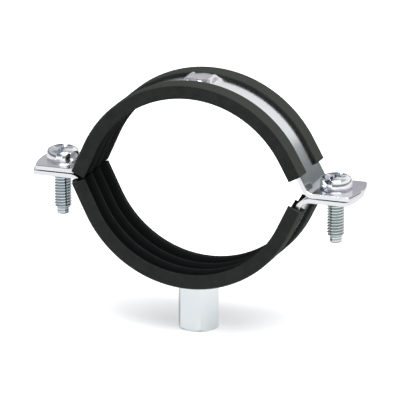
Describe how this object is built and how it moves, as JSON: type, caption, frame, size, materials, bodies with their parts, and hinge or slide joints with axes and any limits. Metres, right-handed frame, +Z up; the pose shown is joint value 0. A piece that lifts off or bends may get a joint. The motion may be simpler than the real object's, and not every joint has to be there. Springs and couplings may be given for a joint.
{
  "type": "rubber lined pipe clamp",
  "caption": "Split steel pipe clamp with toothed rubber linings, screwed together at its ears, with a hexagonal connection nut below for a threaded rod.",
  "frame": {"origin": "on the pipe's axis, midway between the screws, in the parting plane of the ears", "axes": "+Z up along the connection nut and the screws, away from the nut; +X along the ears towards the right screw; +Y along the pipe, away from the viewer"},
  "size_m": [0.1157, 0.024, 0.0884],
  "materials": {
    "strap_steel": "bright zinc plating, smooth",
    "lining_rubber": "black, matt",
    "screw_steel": "bright zinc plating",
    "nut_steel": "zinc plating, satin"
  },
  "bodies": {
    "lower_half": {"lower_strap": "strap_steel", "lower_lining": "lining_rubber", "connection_nut": "nut_steel"},
    "upper_half": {"upper_strap": "strap_steel", "upper_lining": "lining_rubber"},
    "left_screw": {"left_screw": "screw_steel"},
    "right_screw": {"right_screw": "screw_steel"}
  },
  "joints": [
    {"name": "upper_half_lift", "type": "slide", "parent": "lower_half", "child": "upper_half", "axis": [0, 0, 1], "range_m": [-0.00035, 0.0143]},
    {"name": "left_screw_turn", "type": "hinge", "parent": "upper_half", "child": "left_screw", "pos_m": [-0.0488, 0, 0], "axis": [0, 0, 1], "range_deg": [-130, 5152]},
    {"name": "right_screw_turn", "type": "hinge", "parent": "upper_half", "child": "right_screw", "pos_m": [0.0488, 0, 0], "axis": [0, 0, 1], "range_deg": [-130, 5152]}
  ],
  "couplings": [
    {"joint": "left_screw_turn", "follows": "upper_half_lift", "rad_per_m": 6283.2},
    {"joint": "right_screw_turn", "follows": "upper_half_lift", "rad_per_m": 6283.2}
  ]
}
